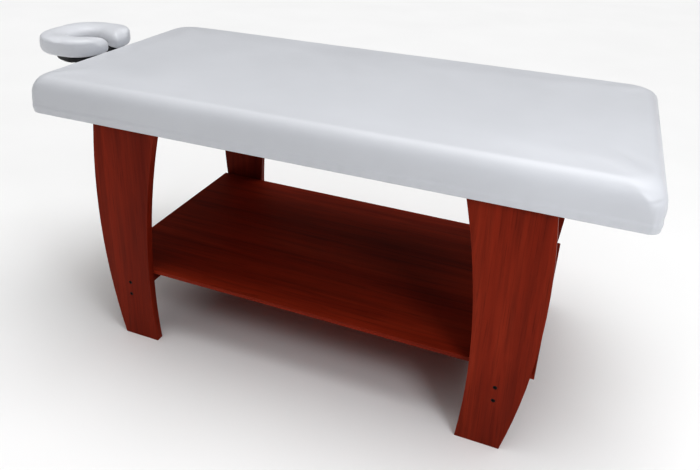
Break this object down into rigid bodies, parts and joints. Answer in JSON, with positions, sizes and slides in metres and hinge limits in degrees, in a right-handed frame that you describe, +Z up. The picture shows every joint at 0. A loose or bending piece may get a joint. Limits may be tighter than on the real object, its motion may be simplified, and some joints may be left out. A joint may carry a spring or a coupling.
{
  "type": "facial treatment bed",
  "caption": "Fixed salon treatment bed: white padded vinyl top on curved mahogany-stained board legs, storage shelf below and a sliding, tilting horseshoe face cradle at the head end.",
  "frame": {"origin": "on the floor under the middle of the object's overall box, face cradle included; the padded top's middle is 136.5 mm from it towards the foot end", "axes": "+X towards the foot end and -X towards the face cradle, +Y towards the back long side, +Z up"},
  "size_m": [2.103, 0.86, 0.93],
  "materials": {
    "white_vinyl": "smooth soft-sheen white upholstery vinyl",
    "foam": "open-cell polyurethane foam",
    "mahogany_stained_wood": "satin red-brown mahogany stain and lacquer",
    "plywood": "raw plywood",
    "pine": "planed softwood",
    "blackened_steel": "black oxide",
    "zinc_plated_steel": "bright zinc plate",
    "grey_painted_steel": "semi-matt grey paint",
    "black_plastic": "moulded matt black",
    "hook_and_loop": "black hook-and-loop tape"
  },
  "bodies": {
    "table": {"vinyl_cover": "white_vinyl", "foam_core": "foam", "deck_board": "plywood", "side_rail_front": "pine", "side_rail_back": "pine", "end_rail_head": "pine", "end_rail_foot": "pine", "cross_brace_head": "pine", "cross_brace_foot": "pine", "leg_head_front": "mahogany_stained_wood", "leg_head_back": "mahogany_stained_wood", "leg_foot_front": "mahogany_stained_wood", "leg_foot_back": "mahogany_stained_wood", "shelf": "mahogany_stained_wood", "shelf_rail_head": "mahogany_stained_wood", "shelf_rail_foot": "mahogany_stained_wood", "leg_screw_head_front_upper": "blackened_steel", "leg_screw_head_front_lower": "blackened_steel", "leg_screw_head_back_upper": "blackened_steel", "leg_screw_head_back_lower": "blackened_steel", "leg_screw_foot_front_upper": "blackened_steel", "leg_screw_foot_front_lower": "blackened_steel", "leg_screw_foot_back_upper": "blackened_steel", "leg_screw_foot_back_lower": "blackened_steel", "leg_bolt_head_front_inner": "zinc_plated_steel", "leg_bolt_head_front_outer": "zinc_plated_steel", "leg_bolt_head_back_inner": "zinc_plated_steel", "leg_bolt_head_back_outer": "zinc_plated_steel", "leg_bolt_foot_front_inner": "zinc_plated_steel", "leg_bolt_foot_front_outer": "zinc_plated_steel", "leg_bolt_foot_back_inner": "zinc_plated_steel", "leg_bolt_foot_back_outer": "zinc_plated_steel", "post_socket_front": "zinc_plated_steel", "post_socket_back": "zinc_plated_steel"},
    "cradle_frame": {"cradle_post_front": "zinc_plated_steel", "cradle_post_back": "zinc_plated_steel", "cradle_crossbar": "grey_painted_steel", "hinge_bracket_front": "grey_painted_steel", "hinge_bracket_back": "grey_painted_steel", "hinge_rod": "zinc_plated_steel", "cam_pin": "zinc_plated_steel"},
    "cradle_tilting_part": {"cradle_platform": "black_plastic", "hook_loop_pad": "hook_and_loop", "face_cushion": "white_vinyl", "hinge_knuckle_front": "grey_painted_steel", "hinge_knuckle_back": "grey_painted_steel", "support_bar_front": "grey_painted_steel", "support_bar_back": "grey_painted_steel"},
    "cam_lever_body": {"cam_lever": "black_plastic"}
  },
  "joints": [
    {"name": "cradle_slide", "type": "slide", "parent": "table", "child": "cradle_frame", "axis": [-1, 0, 0], "range_m": [0, 0.075]},
    {"name": "cradle_tilt", "type": "hinge", "parent": "cradle_frame", "child": "cradle_tilting_part", "pos_m": [-0.8185, 0, 0.831], "axis": [0, -1, 0], "range_deg": [-6, 45]},
    {"name": "cam_lever_turn", "type": "hinge", "parent": "cradle_frame", "child": "cam_lever_body", "pos_m": [-0.8185, -0.1207, 0.831], "axis": [-1, 0, 0], "range_deg": [0, 90]}
  ]
}
